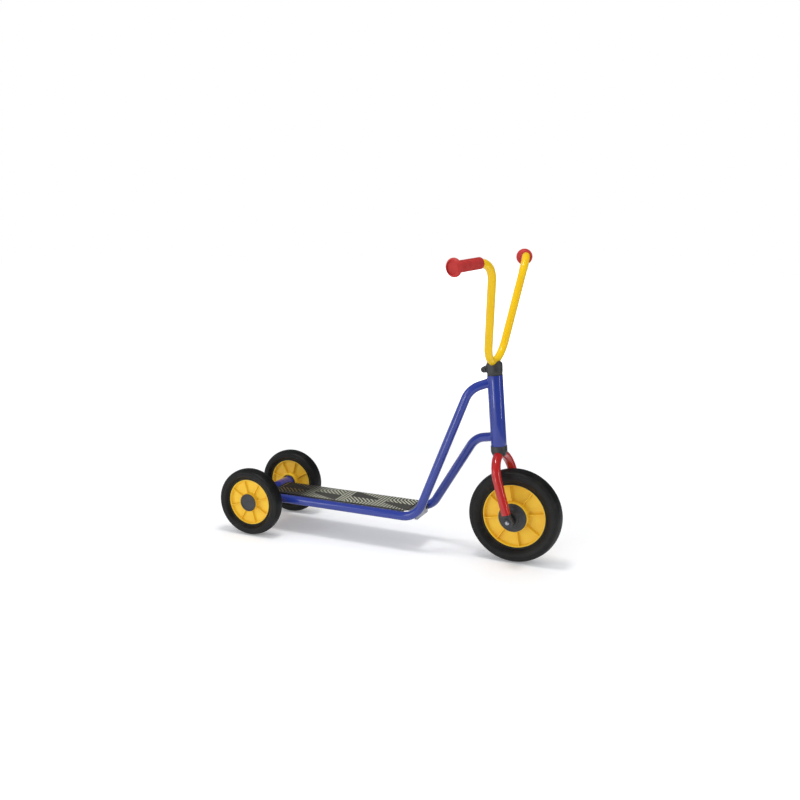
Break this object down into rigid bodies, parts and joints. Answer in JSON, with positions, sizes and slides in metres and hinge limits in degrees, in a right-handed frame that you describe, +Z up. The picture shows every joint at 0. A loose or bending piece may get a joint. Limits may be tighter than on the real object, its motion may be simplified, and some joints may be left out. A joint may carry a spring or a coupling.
{
  "type": "three-wheel kids scooter",
  "caption": "Child's push scooter with a bent tube frame, a flat deck between two rear wheels, a steered fork with a larger front wheel and a V-shaped handlebar.",
  "frame": {"origin": "on the floor, under the middle of the scooter's length and on its centre plane", "axes": "+X forward, the way it rolls; +Y to the rider's left; +Z up"},
  "size_m": [1.0012, 0.5914, 0.8317],
  "materials": {
    "blue_enamel": "gloss purple-blue enamel",
    "red_enamel": "gloss red enamel",
    "yellow_enamel": "gloss yellow enamel",
    "yellow_plastic": "moulded orange-yellow plastic",
    "red_rubber": "soft red grip rubber with fine ribs",
    "tyre_rubber": "solid black tyre rubber",
    "black_plastic": "moulded black plastic and blackened screws",
    "white_nylon": "plain nylon bush",
    "mat_rubber": "black rubber with pale grooves",
    "zinc_steel": "zinc-plated steel"
  },
  "bodies": {
    "frame": {"head_tube": "blue_enamel", "right_frame_tube": "blue_enamel", "left_frame_tube": "blue_enamel", "rear_axle_tube": "blue_enamel", "rear_axle_plug_right": "black_plastic", "rear_axle_plug_left": "black_plastic", "rear_axle_rod": "zinc_steel", "rear_inner_washer_right": "zinc_steel", "rear_inner_washer_left": "zinc_steel", "rear_outer_washer_right": "zinc_steel", "rear_outer_washer_left": "zinc_steel", "rear_lock_nut_right": "zinc_steel", "rear_lock_nut_left": "zinc_steel", "deck_plate": "zinc_steel", "deck_mat": "mat_rubber", "front_cross_plate": "zinc_steel", "rear_deck_strap": "zinc_steel", "front_deck_screw_right": "black_plastic", "front_deck_screw_left": "black_plastic", "rear_deck_screw_right": "black_plastic", "rear_deck_screw_left": "black_plastic", "upper_head_bush": "black_plastic", "lower_head_bush": "black_plastic"},
    "steering": {"steerer_tube": "red_enamel", "fork_legs": "red_enamel", "crown_cover": "black_plastic", "fork_end_right": "black_plastic", "fork_end_left": "black_plastic", "front_axle_bolt": "zinc_steel", "front_axle_nut": "zinc_steel", "front_washer_right": "zinc_steel", "front_washer_left": "zinc_steel", "front_spacer_right": "black_plastic", "front_spacer_left": "black_plastic", "handlebar": "yellow_enamel", "handlebar_stem": "yellow_enamel", "handlebar_clamp": "black_plastic", "clamp_bolt": "zinc_steel", "clamp_nut": "zinc_steel", "grip_right": "red_rubber", "grip_left": "red_rubber"},
    "front_wheel": {"front_rim": "yellow_plastic", "front_tyre": "tyre_rubber", "front_bush_right": "white_nylon", "front_bush_left": "white_nylon", "front_hub_cap_right": "black_plastic", "front_hub_cap_left": "black_plastic"},
    "right_rear_wheel": {"rear_rim_right": "yellow_plastic", "rear_tyre_right": "tyre_rubber", "rear_hub_cap_right": "black_plastic", "rear_inner_bush_right": "white_nylon", "rear_outer_bush_right": "white_nylon"},
    "left_rear_wheel": {"rear_rim_left": "yellow_plastic", "rear_tyre_left": "tyre_rubber", "rear_hub_cap_left": "black_plastic", "rear_inner_bush_left": "white_nylon", "rear_outer_bush_left": "white_nylon"}
  },
  "joints": [
    {"name": "steering", "type": "hinge", "parent": "frame", "child": "steering", "pos_m": [0.32086, 0, 0.3142], "axis": [-0.0805, 0, 0.9968], "range_deg": [-60, 60]},
    {"name": "front_wheel_spin", "type": "hinge", "parent": "steering", "child": "front_wheel", "pos_m": [0.37165, 0, 0.129], "axis": [0, 1, 0], "continuous": true},
    {"name": "right_rear_wheel_spin", "type": "hinge", "parent": "frame", "child": "right_rear_wheel", "pos_m": [-0.40165, -0.1173, 0.099], "axis": [0, 1, 0], "continuous": true},
    {"name": "left_rear_wheel_spin", "type": "hinge", "parent": "frame", "child": "left_rear_wheel", "pos_m": [-0.40165, 0.1173, 0.099], "axis": [0, 1, 0], "continuous": true}
  ]
}
